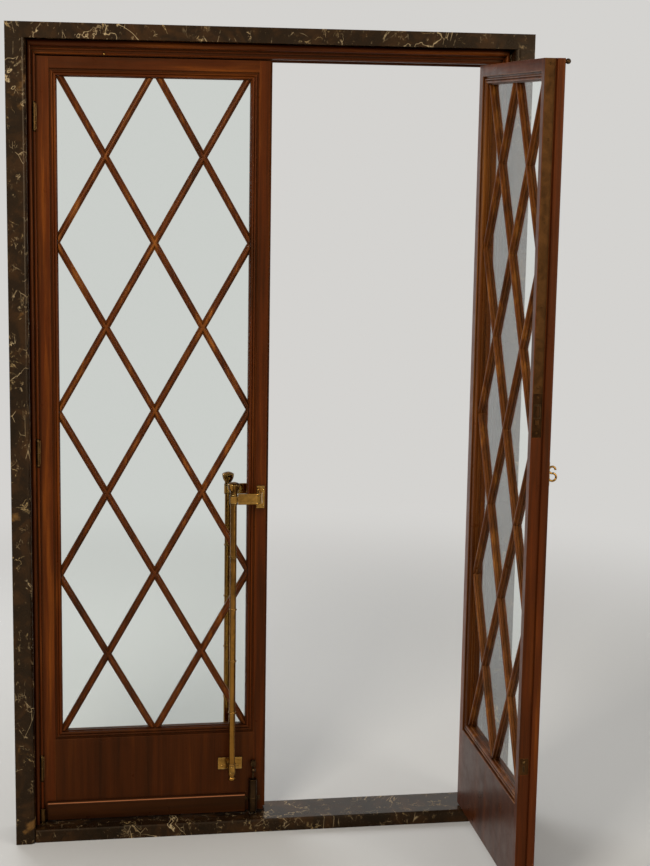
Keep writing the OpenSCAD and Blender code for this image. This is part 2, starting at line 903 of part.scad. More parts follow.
module frame_jamb_left() { mirror([1, 0, 0]) frame_jamb(); }
module frame_jamb_right() { frame_jamb(); }
module stone_jamb_left() { mirror([1, 0, 0]) stone_jamb(); }
module stone_jamb_right() { stone_jamb(); }
module stop_left() { mirror([1, 0, 0]) stop_side(); }
module stop_right() { stop_side(); }
module frame_hinges_left() {
    on_left() on_hinge_axis() {
        each_hinge() frame_hinge();
        color(bronze) translate([0, 0, sill_h]) foot_pin();
    }
}
module frame_hinges_right() { mirror([1, 0, 0]) frame_hinges_left(); }

threshold();
stone_jamb_left();
stone_jamb_right();
stone_head();
frame_jamb_left();
frame_jamb_right();
frame_head();
stop_left();
stop_right();
stop_head();
frame_hinges_left();
frame_hinges_right();
bolt_keep();
left_hinge_stile();
left_meeting_stile();
left_meeting_tongue();
left_top_rail();
left_bottom_rail();
left_inner_lattice();
left_outer_lattice();
left_glass();
left_kick_moulding();
left_leaf_hinges();
left_foot_shoe();
left_inner_pull_bar();
left_inner_pull_brackets();
left_outer_pull_bar();
left_outer_pull_brackets();
left_bolt_case();
left_bolt();
right_hinge_stile();
right_meeting_stile();
right_meeting_lip();
right_top_rail();
right_bottom_rail();
right_inner_lattice();
right_outer_lattice();
right_glass();
right_kick_moulding();
right_leaf_hinges();
right_foot_shoe();
right_lock_plate();
right_edge_bolt_plates();
right_scroll_pull();
right_top_ball();
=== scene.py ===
import math
import bmesh
import bpy
from mathutils import Matrix, Vector


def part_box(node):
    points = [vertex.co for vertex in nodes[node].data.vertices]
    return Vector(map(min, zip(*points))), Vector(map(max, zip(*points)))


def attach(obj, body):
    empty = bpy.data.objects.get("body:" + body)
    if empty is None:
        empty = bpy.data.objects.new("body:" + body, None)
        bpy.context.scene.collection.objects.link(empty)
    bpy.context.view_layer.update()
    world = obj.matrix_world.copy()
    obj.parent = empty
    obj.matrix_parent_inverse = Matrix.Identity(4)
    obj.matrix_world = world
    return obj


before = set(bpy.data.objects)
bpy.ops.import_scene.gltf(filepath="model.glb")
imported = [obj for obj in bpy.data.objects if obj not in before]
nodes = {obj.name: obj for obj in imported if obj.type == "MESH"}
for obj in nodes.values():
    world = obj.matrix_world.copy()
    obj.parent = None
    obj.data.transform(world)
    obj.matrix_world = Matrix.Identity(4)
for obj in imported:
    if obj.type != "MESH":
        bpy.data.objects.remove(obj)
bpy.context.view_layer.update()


# Node trees

def rgba(value):
    """Four channels from a grey number, or from a colour of three."""
    if isinstance(value, (int, float)):
        return (value, value, value, 1.0)
    return (*value, 1.0) if len(value) == 3 else value


def srgb(*channels):
    """A colour written in 0 to 255 as the linear values that Blender's shaders take."""
    def linear(channel):
        share = channel / 255
        return share / 12.92 if share <= 0.04045 else ((share + 0.055) / 1.055) ** 2.4
    return tuple(linear(channel) for channel in channels)


def dimmed(colour, share):
    return tuple(channel * share for channel in colour)


class Tree:
    """A node tree, with short ways to add nodes and to join them."""

    def __init__(self, owner):
        owner.use_nodes = True
        self.tree = owner.node_tree
        self.tree.nodes.clear()

    def add(self, kind, inputs=None, **settings):
        """A new node. inputs maps its sockets, by name or number, to values or other sockets."""
        node = self.tree.nodes.new(kind)
        for key, value in settings.items():
            setattr(node, key, value)
        for key, value in (inputs or {}).items():
            self.feed(node.inputs[key], value)
        return node

    def feed(self, socket, value):
        """Joins another socket to this one, or sets its value."""
        if isinstance(value, bpy.types.NodeSocket):
            self.tree.links.new(value, socket)
        elif socket.type == "RGBA":
            socket.default_value = rgba(value)
        else:
            socket.default_value = value

    def math(self, op, a, b=0.0, clamp=False):
        return self.add("ShaderNodeMath", {0: a, 1: b}, operation=op, use_clamp=clamp).outputs[0]

    def times(self, a, b):
        return self.math("MULTIPLY", a, b)

    def blend(self, share, first, second):
        """first where share is 0 and second where it is 1, both of them shaders."""
        return self.add("ShaderNodeMixShader", {0: share, 1: first, 2: second}).outputs[0]

    def background_rays(self):
        """1 for rays that show the background: from the camera, in gloss and through glass."""
        paths = self.add("ShaderNodeLightPath").outputs
        seen = self.math("MAXIMUM", paths["Is Camera Ray"], paths["Is Glossy Ray"])
        return self.math("MAXIMUM", seen, paths["Is Transmission Ray"])


class Shader(Tree):
    """A material for a piece, on coordinates in metres that stay with the piece."""

    sockets = {"color": "Base Color", "rough": "Roughness", "metal": "Metallic", "ior": "IOR",
               "normal": "Normal", "transmission": "Transmission Weight",
               "specular": "Specular IOR Level", "tint": "Specular Tint"}
    # A Mix node's sockets go by number, because it has several of each name
    mix_share, mix_first, mix_second, mix_result = 0, 6, 7, 2
    ray_samples = 4
    edge_contrast = 6.0

    def __init__(self, name):
        self.mat = bpy.data.materials.new(name)
        super().__init__(self.mat)
        self.bsdf = self.add("ShaderNodeBsdfPrincipled")
        self.add("ShaderNodeOutputMaterial", {"Surface": self.bsdf.outputs["BSDF"]})
        self.place = self.add("ShaderNodeTexCoord").outputs["Object"]
        self.random = self.add("ShaderNodeObjectInfo").outputs["Random"]

    def set(self, **values):
        for key, value in values.items():
            self.feed(self.bsdf.inputs[self.sockets[key]], value)

    def seed(self, spread):
        """A value of its own for each piece, from 0 to spread, so that no two look alike."""
        return self.times(self.random, spread)

    def surface(self):
        """The way that the surface faces."""
        return self.add("ShaderNodeNewGeometry").outputs["Normal"]

    def height_of(self, vector):
        """The part of a vector along z."""
        return self.add("ShaderNodeSeparateXYZ", {"Vector": vector}).outputs["Z"]

    def mapped(self, scale=(1, 1, 1), turn=(0, 0, 0)):
        inputs = {"Vector": self.place, "Scale": scale, "Rotation": turn}
        return self.add("ShaderNodeMapping", inputs).outputs[0]

    def noise(self, scale, detail, rough=0.55, place=None, warp=0.0, seed=None):
        inputs = {"Vector": place or self.place, "Scale": scale, "Detail": detail,
                  "Roughness": rough, "Distortion": warp}
        if seed is not None:
            inputs["W"] = seed
        dimensions = "3D" if seed is None else "4D"
        return self.add("ShaderNodeTexNoise", inputs, noise_dimensions=dimensions).outputs["Fac"]

    def ramp(self, value, stops, smooth=False):
        """Runs through stops, a list of (value, colour or grey)."""
        node = self.add("ShaderNodeValToRGB", {"Fac": value})
        band = node.color_ramp
        band.interpolation = "EASE" if smooth else "LINEAR"
        while len(band.elements) < len(stops):
            band.elements.new(1.0)
        for element, (at, colour) in zip(band.elements, stops):
            element.position = at
            element.color = rgba(colour)
        return node.outputs["Color"]

    def mask(self, value, none_at, full_at, smooth=False):
        """0 up to none_at and 1 from full_at."""
        return self.ramp(value, [(none_at, 0.0), (full_at, 1.0)], smooth)

    def mix(self, share, first, second, kind="MIX"):
        inputs = {self.mix_share: share, self.mix_first: first, self.mix_second: second}
        node = self.add("ShaderNodeMix", inputs, data_type="RGBA", blend_type=kind)
        return node.outputs[self.mix_result]

    def cover(self, colour, other, where, share):
        """Lays other over colour where a mask is 1, as far as share says."""
        return self.mix(self.times(where, share), colour, other)

    def darken(self, colour, shade, share):
        """Multiplies colour by shade, as far as share says."""
        return self.mix(share, colour, shade, "MULTIPLY")

    def bump(self, height, strength, distance, normal=None):
        inputs = {"Height": height, "Strength": strength, "Distance": distance}
        if normal is not None:
            inputs["Normal"] = normal
        return self.add("ShaderNodeBump", inputs).outputs["Normal"]

    def rounded(self, radius):
        """The surface's direction with its arrises rounded off."""
        bevel = self.add("ShaderNodeBevel", {"Radius": radius}, samples=self.ray_samples)
        return bevel.outputs["Normal"]

    def edges(self, radius):
        """1 on an arris, 0 on a flat."""
        node = self.add("ShaderNodeVectorMath", {0: self.surface(), 1: self.rounded(radius)},
                        operation="DOT_PRODUCT")
        bend = self.math("SUBTRACT", 1.0, node.outputs["Value"])
        return self.math("MULTIPLY", bend, self.edge_contrast, clamp=True)

    def hollows(self, distance, strength):
        """Where shade is painted in: strength deep in a groove or corner, 0 in the open."""
        node = self.add("ShaderNodeAmbientOcclusion", {"Distance": distance},
                        samples=self.ray_samples)
        closed = self.math("SUBTRACT", 1.0, node.outputs["AO"])
        return self.math("MULTIPLY", closed, strength, clamp=True)


# Materials. Noise scales are in features per metre, and radii and distances in metres.

# Painted warm light: tints that warm the gloss of the wood and of the stone as if warm lamps lit it
warm_light_gloss_tint = (1.0, 0.52, 0.26)
warm_light_stone_tint = (1.0, 0.76, 0.5)


def wood(name, grain, dark, mid, light, wear_and_highlight=0.45, top_highlight=None):
    """Varnished mahogany with its grain along x, y or z, lighter on arrises from wear and painted
    highlight, and dark in quirks with painted shade.

    The last argument is the colour of a painted highlight along a moulding's sloping top."""
    s = Shader(name)
    seed = s.seed(spread=37.0)

    def grained(scale, detail, rough, length, warp=0.0):
        """Noise that is drawn out along the grain: its scale there is length times scale."""
        along = tuple(length if letter == grain else 1.0 for letter in "xyz")
        return s.noise(scale, detail, rough, s.mapped(along), warp, seed)

    figure = grained(scale=24.0, detail=5.0, rough=0.55, length=0.05, warp=0.5)
    ribbon = grained(scale=95.0, detail=3.0, rough=0.5, length=0.02, warp=0.2)
    streaks = grained(scale=330.0, detail=3.0, rough=0.6, length=0.015)
    pores = grained(scale=1500.0, detail=2.0, rough=0.5, length=0.04)
    ripple = grained(scale=14.0, detail=2.0, rough=0.5, length=0.2)
    patches = s.noise(scale=2.6, detail=3.0, rough=0.5, warp=0.4, seed=seed)
    smears = s.noise(scale=16.0, detail=4.0, rough=0.6, warp=0.3, seed=seed)

    colour = s.ramp(figure, [(0.3, dark), (0.5, mid), (0.72, light)], smooth=True)
    colour = s.darken(colour, s.ramp(ribbon, [(0.34, 0.55), (0.6, 1.0)], smooth=True), share=0.5)
    colour = s.darken(colour, s.ramp(streaks, [(0.32, 0.5), (0.6, 1.0)]), share=0.45)
    colour = s.cover(colour, dark, where=s.mask(pores, 0.6, 0.66), share=0.55)
    colour = s.darken(colour, s.ramp(patches, [(0.34, 0.62), (0.66, 1.0)], smooth=True), share=0.5)
    darkest_board = 0.82
    board = s.math("ADD", darkest_board, s.seed(spread=0.3))
    colour = s.darken(colour, board, share=1.0)
    # Painted shade: darker deep in quirks, grooves and corners
    colour = s.mix(s.hollows(distance=0.016, strength=0.85), colour, dimmed(dark, 0.25))
    # Lighter on the arrises: wear, and a painted highlight where light would catch them
    colour = s.cover(colour, light, where=s.edges(radius=0.0026), share=wear_and_highlight)
    # Painted highlight: a copper line on the faces that tilt upwards, along a moulding's rounded
    # top
    if top_highlight:
        upward = s.height_of(s.surface())
        line = s.ramp(upward, [(0.3, 0.0), (0.5, 1.0), (0.7, 0.0)], smooth=True)
        colour = s.cover(colour, top_highlight, where=line, share=0.75)

    height = s.math("SUBTRACT", s.times(streaks, 0.5), s.times(pores, 0.5))
    waves = s.bump(ripple, strength=0.05, distance=0.002, normal=s.rounded(0.0014))
    # The gloss is tinted with painted warm light
    s.set(color=colour, rough=s.ramp(smears, [(0.3, 0.26), (0.7, 0.42)]), specular=0.26,
          tint=warm_light_gloss_tint, normal=s.bump(height, strength=0.14, distance=0.0006, normal=waves))
    return s.mat


def marble(name, turn):
    """Polished brown-black marble, scratched all over with fine cream and gold veins."""
    s = Shader(name)
    seed = s.seed(spread=11.0)
    place = s.mapped(turn=turn)
    slanted = s.mapped((1.7, 1.7, 0.7), turn=(0.6, 0.35, 0.2))

    def here_and_there(scale, sparse, fade):
        """1 in the patches that keep their veins. A higher sparse makes them smaller."""
        spots = s.noise(scale, detail=3.0, rough=0.6, place=place, seed=seed)
        return s.mask(spots, sparse, sparse + fade)

    clouds = s.noise(scale=7.0, detail=8.0, rough=0.62, place=place, warp=1.2, seed=seed)
    gold = s.noise(scale=2.3, detail=6.0, rough=0.6, place=place, warp=2.0, seed=seed)
    speckle = s.noise(scale=60.0, detail=6.0, rough=0.7, place=place, warp=0.6, seed=seed)
    browns = [(0.3, srgb(13, 7, 3)), (0.47, srgb(28, 16, 6)),
              (0.6, srgb(47, 28, 11)), (0.78, srgb(72, 45, 19))]
    colour = s.ramp(clouds, browns, smooth=True)
    colour = s.cover(colour, srgb(132, 92, 44), where=s.mask(gold, 0.63, 0.7, smooth=True),
                     share=0.55)
    colour = s.darken(colour, s.ramp(speckle, [(0.38, 0.6), (0.62, 1.0)]), share=0.6)

    # Wandering veins, where a noise crosses its middle value, from the widest to the finest
    for scale, width, sparse, tone, share in ((2.6, 0.0045, 0.53, srgb(200, 174, 130), 0.7),
                                              (8.0, 0.008, 0.55, srgb(186, 156, 106), 0.65),
                                              (22.0, 0.014, 0.57, srgb(158, 130, 90), 0.55)):
        wander = s.noise(scale, detail=5.0, rough=0.6, place=place, warp=0.9,
                         seed=s.math("ADD", seed, scale))
        ridge = s.math("ABSOLUTE", s.math("SUBTRACT", wander, 0.5))
        kept = here_and_there(scale * 1.35, sparse, fade=0.06)
        line = s.times(s.ramp(ridge, [(0.0, 1.0), (width, 0.0)], smooth=True), kept)
        colour = s.cover(colour, tone, where=line, share=share)

    # Straight scratches, along the sides of slanted cells
    for scale, width, sparse, share in ((12.0, 0.012, 0.56, 0.6), (27.0, 0.02, 0.57, 0.5)):
        cells = s.add("ShaderNodeTexVoronoi", {"Vector": slanted, "Scale": scale, "W": seed},
                      feature="DISTANCE_TO_EDGE", voronoi_dimensions="4D")
        kept = here_and_there(scale * 1.1, sparse, fade=0.05)
        scratch = s.times(s.ramp(cells.outputs["Distance"], [(0.0, 1.0), (width, 0.0)]), kept)
        colour = s.cover(colour, srgb(190, 164, 122), where=scratch, share=share)

    # Painted highlight: a lighter colour on the arrises
    colour = s.cover(colour, srgb(110, 82, 50), where=s.edges(radius=0.003), share=0.1)
    smears = s.noise(scale=9.0, detail=4.0, rough=0.6)
    ripple = s.noise(scale=70.0, detail=2.0)
    # The gloss is tinted with painted warm light
    s.set(color=colour, rough=s.ramp(smears, [(0.3, 0.18), (0.7, 0.3)]), specular=0.24, tint=warm_light_stone_tint,
          normal=s.bump(ripple, strength=0.02, distance=0.001, normal=s.rounded(0.002)))
    return s.mat


def metal(name, clean, stained, bare, rough, stain, grip=None):
    """Aged metal: bare on its arrises, stained in patches, and darker in hollows with stain and
    painted shade.

    grip is the height and half length of the stretch that hands keep clean on an upright bar,
    which is then stained in streaks along its length as well. rough is a range."""
    s = Shader(name)
    seed = s.seed(spread=23.0)
    patches = s.noise(scale=26.0, detail=6.0, rough=0.65, warp=0.6, seed=seed)
    amount = s.times(s.mask(patches, 0.36, 0.64), stain)
    if grip:
        grip_z, reach = grip
        streaks = s.noise(scale=115.0, detail=3.0, rough=0.5, place=s.mapped((1, 1, 0.012)),
                          seed=seed)
        amount = s.math("MAXIMUM", amount, s.times(s.mask(streaks, 0.44, 0.56), stain))
        away = s.math("ABSOLUTE", s.math("SUBTRACT", s.height_of(s.place), grip_z))
        untouched = s.add("ShaderNodeMapRange", {"Value": away, "From Min": reach,
                                                 "From Max": reach * 3, "To Min": 0.35,
                                                 "To Max": 1.0})
        amount = s.times(amount, untouched.outputs["Result"])
    fine = s.noise(scale=260.0, detail=4.0, rough=0.6, seed=seed)
    colour = s.mix(amount, clean, stained)
    colour = s.darken(colour, s.ramp(fine, [(0.3, 0.6), (0.62, 1.0)]), share=0.4)
    # Stain and painted shade: darker deep in hollows and corners
    colour = s.mix(s.hollows(distance=0.012, strength=1.0), colour, dimmed(stained, 0.35))
    colour = s.cover(colour, bare, where=s.edges(radius=0.0016), share=0.7)
    scratches = s.noise(scale=520.0, detail=2.0, rough=0.5, place=s.mapped((1, 1, 0.04)),
                        seed=seed)
    smears = s.noise(scale=45.0, detail=5.0, rough=0.6, seed=seed)
    smoothest, roughest = rough
    s.set(color=colour, metal=1.0, rough=s.ramp(smears, [(0.3, smoothest), (0.7, roughest)]),
          normal=s.bump(scratches, strength=0.06, distance=0.0003, normal=s.rounded(0.0008)))
    return s.mat


def glass(name):
    """Clear sheet glass, faintly green and a little smeared."""
    s = Shader(name)
    smears = s.noise(scale=7.0, detail=4.0, rough=0.6, place=s.mapped((1, 1, 0.6)))
    waves = s.noise(scale=2.5, detail=2.0)
    s.set(color=srgb(243, 249, 247), transmission=1.0, ior=1.5,
          rough=s.ramp(smears, [(0.45, 0.0), (0.8, 0.025)]),
          normal=s.bump(waves, strength=0.03, distance=0.004))
    return s.mat


tones = {
    "mahogany": {"dark": srgb(40, 14, 2), "mid": srgb(77, 30, 5), "light": srgb(126, 63, 16)},
    "dark": {"dark": srgb(44, 16, 3), "mid": srgb(64, 26, 5), "light": srgb(86, 40, 8)},
    # The kick's wood is darker as painted shade, and its copper top line is a painted highlight
    "kick": {"dark": srgb(28, 10, 2), "mid": srgb(40, 17, 4), "light": srgb(56, 25, 6),
             "wear_and_highlight": 0.3, "top_highlight": srgb(176, 108, 68)},
    "bars": {"dark": srgb(48, 18, 4), "mid": srgb(84, 37, 9), "light": srgb(140, 80, 28),
             "wear_and_highlight": 0.2},
    "lit_bars": {"dark": srgb(56, 24, 6), "mid": srgb(102, 51, 14), "light": srgb(160, 98, 36),
                 "wear_and_highlight": 0.3}}
woods = {}


def mahogany_for(grain, tone="mahogany"):
    """The wood of a tone with its grain along an axis, made once."""
    key = f"{tone}_{grain}"
    if key not in woods:
        woods[key] = wood(key, grain, **tones[tone])
    return woods[key]


stone = marble("dark_marble", turn=(0.4, 0.2, 0.9))
brass = metal("polished_brass", clean=srgb(186, 138, 64), stained=srgb(84, 54, 22),
              bare=srgb(250, 216, 140), rough=(0.1, 0.24), stain=0.6)
worn_brass = metal("tarnished_brass", clean=srgb(164, 116, 50), stained=srgb(54, 33, 13),
                   bare=srgb(250, 212, 132), rough=(0.1, 0.26), stain=0.85, grip=(0.42, 0.2))
bronze = metal("dark_bronze", clean=srgb(74, 54, 33), stained=srgb(36, 26, 17),
               bare=srgb(132, 100, 62), rough=(0.26, 0.46), stain=0.7)
antique = metal("antique_brass", clean=srgb(102, 73, 39), stained=srgb(46, 32, 18),
                bare=srgb(190, 150, 92), rough=(0.22, 0.4), stain=0.7)
strip = metal("brown_bronze", clean=srgb(86, 55, 27), stained=srgb(52, 33, 16),
              bare=srgb(118, 82, 44), rough=(0.34, 0.52), stain=0.8)
dark_strip = metal("lock_bronze", clean=srgb(62, 39, 19), stained=srgb(30, 18, 9),
                   bare=srgb(112, 78, 44), rough=(0.3, 0.48), stain=0.8)
clear = glass("clear_glass")
# The axis that level boards run along. The right leaf's differs because it stands open.
level_grain = {"left": "x", "right": "y", "frame": "x", "stop": "x"}


def finish_for(node):
    """The material of a CAD node, by the words in its name."""
    if node.startswith("stone") or node == "threshold":
        return stone
    if "glass" in node:
        return clear
    if "pull_bar" in node:
        return worn_brass
    if "pull" in node or node == "bolt_keep":
        return brass
    if "hinges" in node or "shoe" in node:
        return antique
    if "lock_plate" in node:
        return dark_strip
    if "edge_bolt" in node:
        return strip
    if "bolt" in node or "ball" in node:
        return bronze
    if "lattice" in node:
        return mahogany_for("z", "lit_bars" if "outer" in node else "bars")
    level = level_grain[node.split("_")[0]]
    if "kick" in node:
        return mahogany_for(level, "kick")
    if "bottom_rail" in node:
        return mahogany_for("z", "dark")
    if "top_rail" in node or "head" in node:
        return mahogany_for(level)
    return mahogany_for("z")


for name, obj in nodes.items():
    obj.data.materials.clear()
    obj.data.materials.append(finish_for(name))


# Places on a leaf: u from its hinge axis towards the doorway's middle, y from its room face, z up

low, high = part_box("frame_hinges_right")
axis_x = (low.x + high.x) / 2
axis_y = low.y + (high.x - low.x) / 2
open_face_x = axis_x + axis_y
low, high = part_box("left_hinge_stile")
leaf_t, leaf_foot, leaf_top = high.y, low.z, high.z

# From those places to the closed left leaf, the open right leaf, and the right jamb, mirrored
on_left = Matrix(((1, 0, 0, -axis_x), (0, 1, 0, 0), (0, 0, 1, 0), (0, 0, 0, 1)))
on_right = Matrix(((0, -1, 0, open_face_x), (-1, 0, 0, axis_y), (0, 0, 1, 0), (0, 0, 0, 1)))
on_right_jamb = Matrix(((-1, 0, 0, axis_x), (0, 1, 0, 0), (0, 0, 1, 0), (0, 0, 0, 1)))
as_built = Matrix.Identity(4)


# Making pieces

def in_scene(name, data):
    """A new object with this mesh, lamp or camera."""
    obj = bpy.data.objects.new(name, data)
    bpy.context.scene.collection.objects.link(obj)
    return obj


def piece(name, bm, body, finish, place=as_built, smooth=True, bevel=0.0):
    """Makes an object of bm, which lies in place's own coordinates."""
    bmesh.ops.transform(bm, matrix=place, verts=bm.verts)
    if place.determinant() < 0:
        bmesh.ops.reverse_faces(bm, faces=bm.faces)
    mesh = bpy.data.meshes.new(name)
    bm.to_mesh(mesh)
    bm.free()
    for polygon in mesh.polygons:
        polygon.use_smooth = smooth
    obj = in_scene(name, mesh)
    if bevel:
        rounding = obj.modifiers.new("arrises", "BEVEL")
        rounding.width = bevel
        rounding.segments = 2
        rounding.limit_method = "ANGLE"
    mesh.materials.append(finish)
    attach(obj, body)


def lathe(profile):
    """Turns [(radius, height), ...] about z. A radius of 0 closes it to a point."""
    sides = 20
    bm = bmesh.new()
    rings = []
    for radius, height in profile:
        angles = [math.tau * i / sides for i in range(sides)] if radius else [0.0]
        rings.append([bm.verts.new((radius * math.cos(angle), radius * math.sin(angle), height))
                      for angle in angles])
    for low, high in zip(rings, rings[1:]):
        for i in range(sides):
            j = (i + 1) % sides
            around = (low[i % len(low)], low[j % len(low)],
                      high[j % len(high)], high[i % len(high)])
            bm.faces.new(list(dict.fromkeys(around)))
    bm.faces.new(list(reversed(rings[0])))
    return bm


def face_towards(bm, at, direction):
    """Moves bm, which stands on the origin along z, to a point and along a direction."""
    turn = Vector(direction).to_track_quat("Z", "X").to_matrix().to_4x4()
    bmesh.ops.transform(bm, matrix=Matrix.Translation(at) @ turn, verts=bm.verts)
    return bm


def screw_head(radius, turn):
    """A domed head with a sawn slot, standing on z = 0. Its sizes are shares of the radius."""
    dome = ((1.0, -0.15), (1.0, 0.06), (0.9, 0.2), (0.66, 0.31), (0.36, 0.37), (0, 0.39))
    slot_half, slot_depth, rim = 0.13 * radius, 0.22 * radius, 0.07 * radius
    bm = lathe([(share * radius, height * radius) for share, height in dome])
    for side in (-1, 1):
        bmesh.ops.bisect_plane(bm, geom=bm.verts[:] + bm.edges[:] + bm.faces[:],
                               plane_co=(0, side * slot_half, 0), plane_no=(0, 1, 0))
    middles = {face: face.calc_center_median() for face in bm.faces}
    sawn = [face for face, middle in middles.items()
            if abs(middle.y) < slot_half and (face.normal.z > 0.2 or middle.z > rim)]
    moved = bmesh.ops.extrude_face_region(bm, geom=sawn)["geom"]
    bmesh.ops.delete(bm, geom=sawn, context="FACES")
    bmesh.ops.translate(bm, vec=(0, 0, -slot_depth),
                        verts=[part for part in moved if isinstance(part, bmesh.types.BMVert)])
    bmesh.ops.rotate(bm, matrix=Matrix.Rotation(turn, 3, "Z"), verts=bm.verts)
    return bm


def screws(name, body, finish, radius, places, place):
    """One piece of all the screw heads of a fitting. places holds (point, direction outwards)."""
    first_turn, next_turn = 0.7, 2.4
    whole = bmesh.new()
    for index, (at, outwards) in enumerate(places):
        head = face_towards(screw_head(radius, first_turn + next_turn * index), at, outwards)
        loose = bpy.data.meshes.new("loose")
        head.to_mesh(loose)
        head.free()
        whole.from_mesh(loose)
        bpy.data.meshes.remove(loose)
    piece(name, whole, body, finish, place)


def upright(outline, low, high):
    """A prism of an outline in u and y, counted anticlockwise, between two heights."""
    bm = bmesh.new()
    foot, top = ([bm.verts.new((u, y, z)) for u, y in outline] for z in (low, high))
    bm.faces.new(list(reversed(foot)))
    bm.faces.new(top)
    for i in range(len(outline)):
        j = (i + 1) % len(outline)
        bm.faces.new((foot[i], foot[j], top[j], top[i]))
    return bm


# Screws of the hinges, foot shoes, pulls and foot bolt, on the sizes that part.scad gives them

small_r, medium_r, large_r = 0.0032, 0.0036, 0.0042
hinge_inset, hinge_count = 0.202, 3
hinge_pitch = (leaf_top - leaf_foot - 2 * hinge_inset) / (hinge_count - 1)
hinge_z = [leaf_foot + hinge_inset + i * hinge_pitch for i in range(hinge_count)]
jamb_u, leaf_edge_u = 0, 0.0055
shoe_screw_y = 0.012
shoe_screw_z = [leaf_foot + up for up in (0.014, 0.039)]


def hinge_screws(name, body, u, facing, near_y, place):
    """Four screws in a zigzag on each hinge plate, at a depth and a height from its middle."""
    zigzag = ((0.0, -0.032), (0.006, -0.011), (0.0, 0.011), (0.006, 0.032))
    places = [((u, near_y + dy, z + dz), (facing, 0, 0)) for z in hinge_z for dy, dz in zigzag]
    screws(name, body, antique, small_r, places, place)


for side, place in (("left", on_left), ("right", on_right)):
    body = f"{side}_leaf"
    hinge_screws(f"{side}_hinge_screws", body, leaf_edge_u, facing=-1, near_y=0.010, place=place)
    screws(f"{side}_shoe_screws", body, antique, small_r,
           [((leaf_edge_u, shoe_screw_y, z), (-1, 0, 0)) for z in shoe_screw_z], place)
for side, place in (("left", on_left), ("right", on_right_jamb)):
    hinge_screws(f"frame_{side}_hinge_screws", "surround", jamb_u, facing=1, near_y=0.006,
                 place=place)


def either_side(middle, distance):
    """Two places at the same distance from a middle."""
    return middle - distance, middle + distance


pull_plate_t, bolt_strap_t, scroll_plate_t = 0.004, 0.003, 0.004
pull_u = axis_x - 0.130
hand_plate_u = axis_x - 0.026
hand_screw_z = (1.273, 1.213)
foot_screw_z = 0.2325
hand_screws = [(u, z) for u in either_side(hand_plate_u, 0.0085) for z in hand_screw_z]
foot_screws = [(u, foot_screw_z) for u in either_side(pull_u, 0.029)]
for name, face, out in (("inner", 0.0, -1), ("outer", leaf_t, 1)):
    plate_y = face + out * pull_plate_t
    screws(f"left_{name}_pull_screws", "left_leaf", brass, large_r,
           [((u, plate_y, z), (0, out, 0)) for u, z in hand_screws + foot_screws], on_left)

bolt_u = axis_x - 0.045
bolt_strap_z = leaf_foot + 0.046
screws("left_bolt_screws", "left_leaf", bronze, medium_r,
       [((u, -bolt_strap_t, bolt_strap_z), (0, -1, 0)) for u in either_side(bolt_u, 0.0215)],
       on_left)


# The right leaf's edge: latch, small bolt, edge bolt and screws

low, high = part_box("right_lock_plate")
edge_u = axis_y - low.y
edge_y = open_face_x - (low.x + high.x) / 2
sunk = 0.002


def edge_nose(name, finish, low, high, proud, half, rounded=0.0, bevel=0.0):
    """Stands proud of the edge between two heights, half its width to each side of the middle.

    rounded is the length over which its front curves up, as on a latch that meets its keep."""
    front, back = edge_y - half, edge_y + half
    curve = ((0.0, 0.0), (0.5, 0.12), (0.85, 0.5), (1.0, 1.0)) if rounded else ((1.0, 0.0),)
    nose = [(edge_u + proud * rise, front + rounded * way) for rise, way in curve]
    outline = [(edge_u - sunk, front), *nose, (edge_u + proud, back), (edge_u - sunk, back)]
    piece(name, upright(outline, low, high), "right_leaf", finish, on_right,
          smooth=False, bevel=bevel)


edge_nose("right_latch_mouth", bronze, low=1.661, high=1.707, proud=0.0003, half=0.0105)
edge_nose("right_latch_nose", dark_strip, low=1.665, high=1.703, proud=0.0035, half=0.0085,
          rounded=0.011, bevel=0.0004)
edge_nose("right_night_bolt", strip, low=1.642, high=1.656, proud=0.0022, half=0.006,
          rounded=0.002, bevel=0.0003)

pin_z = 0.510
pin_profile = [(0.0065, -0.001), (0.0065, 0.0006), (0.0052, 0.0012), (0.004, 0.0012),
               (0.004, 0.0026), (0.003, 0.0034), (0, 0.0036)]
piece("right_edge_bolt_pin", face_towards(lathe(pin_profile), (edge_u, edge_y, pin_z), (1, 0, 0)),
      "right_leaf", antique, on_right)
edge_nose("right_edge_bolt_slide", bronze, low=0.478, high=0.500, proud=0.0006, half=0.0035,
          bevel=0.0004)

bolt_plate_screws = (0.473, 0.520)
lock_plate_screws = (1.615, 1.730)
long_strip_screws = (1.762, 2.02, 2.28, 2.54, 2.768)
edge_screws = (*bolt_plate_screws, *lock_plate_screws, *long_strip_screws)
screws("right_edge_screws", "right_leaf", strip, medium_r,
       [((edge_u, edge_y, z), (1, 0, 0)) for z in edge_screws], on_right)

scroll_u = axis_x - 0.024
scroll_z = 1.481
screws("right_scroll_screws", "right_leaf", brass, small_r,
       [((scroll_u, -scroll_plate_t, z), (0, -1, 0)) for z in either_side(scroll_z, 0.0335)],
       on_right)


# A small round catch in the head's lower bead, over the left leaf

catch_x, catch_z = -0.579, 2.7964
catch_profile = [(0.005, -0.004), (0.005, 0.001), (0.0042, 0.0034), (0.0022, 0.005), (0, 0.0054)]
bead_face = nodes["frame_head"].ray_cast((catch_x, -1, catch_z), (0, 1, 0))[1]
piece("frame_head_catch", face_towards(lathe(catch_profile), bead_face, (0, -1, 0)),
      "surround", brass)


# Stage, light and camera

backdrop = (0.66, 0.65, 0.63)


